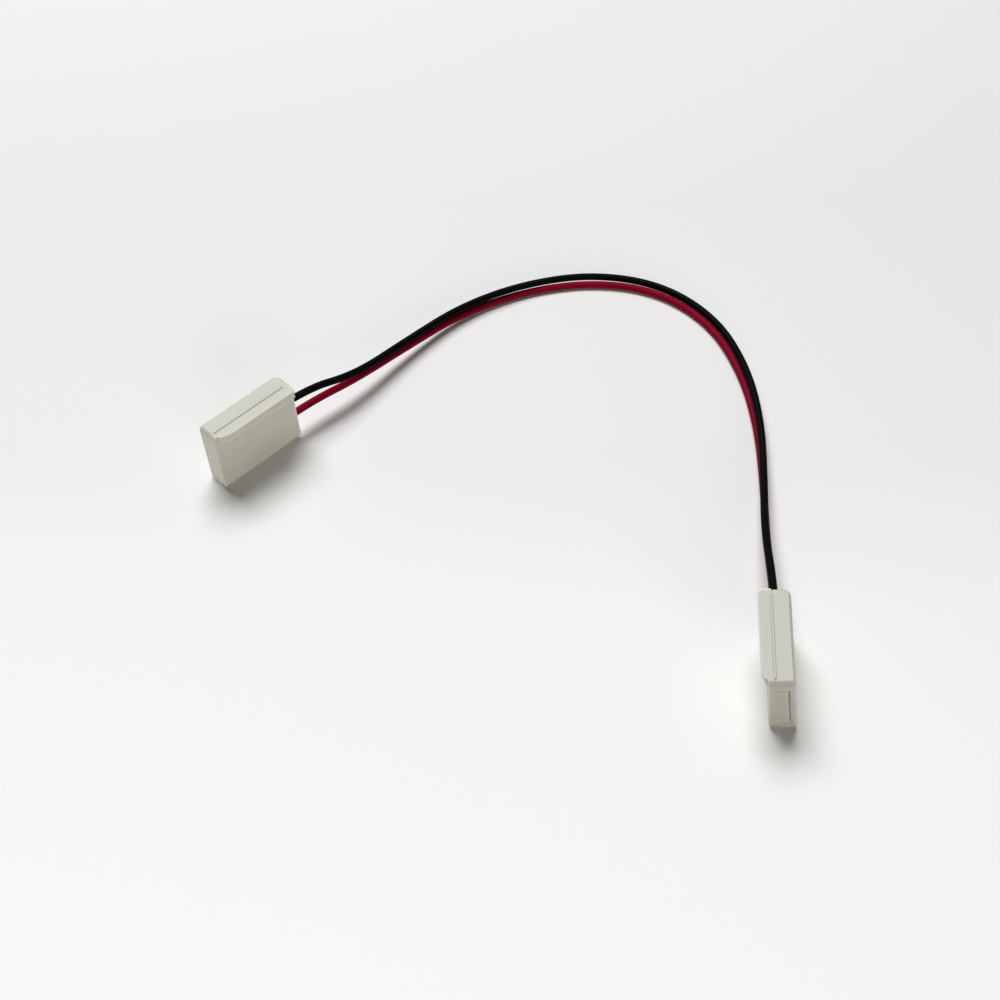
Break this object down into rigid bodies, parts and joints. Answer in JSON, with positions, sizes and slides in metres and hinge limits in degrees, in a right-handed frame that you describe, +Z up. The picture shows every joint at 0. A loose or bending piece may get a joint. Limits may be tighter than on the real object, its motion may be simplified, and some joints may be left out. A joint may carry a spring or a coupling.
{
  "type": "led strip connector",
  "caption": "Jumper for two-conductor light strip: a snap-shut translucent clip at each end of a red and black wire pair, laid in an arc.",
  "frame": {"origin": "middle of the two clips' bounding box, on the table that they stand on", "axes": "+Z up from the table, +X from the left clip to the right clip, +Y towards the top of the wires' arc"},
  "size_m": [0.1085, 0.1083, 0.0153],
  "materials": {
    "nylon": "natural off-white nylon, slightly translucent, satin",
    "black_pvc": "extruded PVC, soft sheen",
    "red_pvc": "extruded PVC, soft sheen",
    "tinned_bronze": "tin-plated spring bronze, dull bright",
    "copper": "bare stranded copper"
  },
  "bodies": {
    "jumper": {"left_tray": "nylon", "left_film_hinge": "nylon", "left_black_contact": "tinned_bronze", "left_black_strands": "copper", "left_red_contact": "tinned_bronze", "left_red_strands": "copper", "right_tray": "nylon", "right_film_hinge": "nylon", "right_black_contact": "tinned_bronze", "right_black_strands": "copper", "right_red_contact": "tinned_bronze", "right_red_strands": "copper", "wire_black": "black_pvc", "wire_red": "red_pvc"},
    "left_cover": {"left_cover": "nylon"},
    "right_cover": {"right_cover": "nylon"}
  },
  "joints": [
    {"name": "left_cover_hinge", "type": "hinge", "parent": "jumper", "child": "left_cover", "pos_m": [-0.04534, 0.0253, 0.015], "axis": [-0.7169, -0.6972, 0], "range_deg": [0, 170], "deforming": ["left_film_hinge"]},
    {"name": "right_cover_hinge", "type": "hinge", "parent": "jumper", "child": "right_cover", "pos_m": [0.04778, -0.02381, 0.01474], "axis": [0.0741, 0.9973, 0], "range_deg": [0, 170], "deforming": ["right_film_hinge"]}
  ]
}
